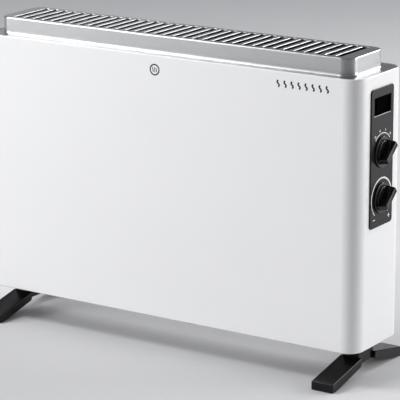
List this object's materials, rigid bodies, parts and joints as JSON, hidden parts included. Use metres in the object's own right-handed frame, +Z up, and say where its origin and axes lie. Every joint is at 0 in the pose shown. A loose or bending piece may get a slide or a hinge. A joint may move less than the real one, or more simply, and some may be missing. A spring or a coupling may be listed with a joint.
{
  "type": "fan convector heater",
  "caption": "Free-standing fan convector heater: long white steel casing, slotted silver top grille, end control panel with rocker and dials, black arched feet.",
  "frame": {"origin": "middle of the floor area the heater covers, knobs included, at floor level", "axes": "+X along the heater towards the control end, -Y is the front, +Z up"},
  "size_m": [0.6126, 0.186, 0.426],
  "materials": {
    "white_paint": "semi-gloss white enamel on sheet steel",
    "silver_paint": "satin silver lacquer on pressed steel",
    "foot_plastic": "black moulded plastic, fine satin grain",
    "panel_plastic": "dark grey moulded plastic, satin",
    "knob_plastic": "black moulded plastic, satin",
    "rocker_plastic": "black glossy plastic",
    "zinc_steel": "zinc-plated sheet steel",
    "bright_aluminium": "bright rolled aluminium",
    "element_aluminium": "dull heat-stained aluminium",
    "screw_steel": "zinc-plated screws and nuts",
    "shaft_steel": "turned steel",
    "contact_brass": "plain brass contacts and pins",
    "ceramic_white": "unglazed steatite ceramic",
    "switch_plastic": "ivory thermoset plastic",
    "cutout_plastic": "brown phenolic plastic",
    "lamination_steel": "dark varnished laminations",
    "coil_tape": "amber insulating tape over copper wire",
    "impeller_plastic": "dark grey glass-filled plastic",
    "gland_plastic": "black nylon",
    "grommet_rubber": "black rubber"
  },
  "bodies": {
    "heater": {"base_plate": "zinc_steel", "base_plate_screws": "screw_steel", "bearing_bridges": "bright_aluminium", "cable_gland": "gland_plastic", "control_bracket": "zinc_steel", "control_panel": "panel_plastic", "control_panel_screws": "screw_steel", "control_shield": "zinc_steel", "element_insulators": "ceramic_white", "element_support_left": "zinc_steel", "element_support_right": "zinc_steel", "element_terminals": "contact_brass", "fan_frame": "zinc_steel", "foot_left": "foot_plastic", "foot_nuts": "screw_steel", "foot_right": "foot_plastic", "foot_screws": "screw_steel", "front_housing": "white_paint", "front_reflector": "bright_aluminium", "gland_nut": "gland_plastic", "grille_clips": "zinc_steel", "heating_element_front": "element_aluminium", "heating_element_rear": "element_aluminium", "motor_coil": "coil_tape", "motor_screws": "screw_steel", "motor_stator": "lamination_steel", "rear_panel": "white_paint", "rear_panel_screws": "screw_steel", "rear_reflector": "bright_aluminium", "reflector_rivets": "bright_aluminium", "rocker_frame": "rocker_plastic", "rocker_terminals": "contact_brass", "selector_nut": "screw_steel", "selector_switch": "switch_plastic", "support_screws": "screw_steel", "terminal_block": "switch_plastic", "terminal_screws": "screw_steel", "thermal_cutout": "cutout_plastic", "thermostat_blade": "contact_brass", "thermostat_body": "ceramic_white", "thermostat_nut": "screw_steel", "top_grille": "silver_paint", "wire_grommet": "grommet_rubber"},
    "selector": {"selector_knob": "knob_plastic", "selector_shaft": "shaft_steel"},
    "thermostat": {"thermostat_knob": "knob_plastic", "thermostat_shaft": "shaft_steel"},
    "rocker": {"rocker_button": "rocker_plastic"},
    "fan": {"fan_impeller": "impeller_plastic", "fan_rotor": "shaft_steel"}
  },
  "joints": [
    {"name": "selector_turn", "type": "hinge", "parent": "heater", "child": "selector", "pos_m": [0.28975, 0, 0.3009], "axis": [1, 0, 0], "range_deg": [0, 84]},
    {"name": "thermostat_turn", "type": "hinge", "parent": "heater", "child": "thermostat", "pos_m": [0.28975, 0, 0.2405], "axis": [1, 0, 0], "range_deg": [-91, 189]},
    {"name": "rocker_tilt", "type": "hinge", "parent": "heater", "child": "rocker", "pos_m": [0.28625, 0, 0.3619], "axis": [0, 0, 1], "range_deg": [-10, 0]},
    {"name": "fan_spin", "type": "hinge", "parent": "heater", "child": "fan", "pos_m": [-0.03825, 0, 0.064], "axis": [0, 0, 1], "continuous": true}
  ]
}
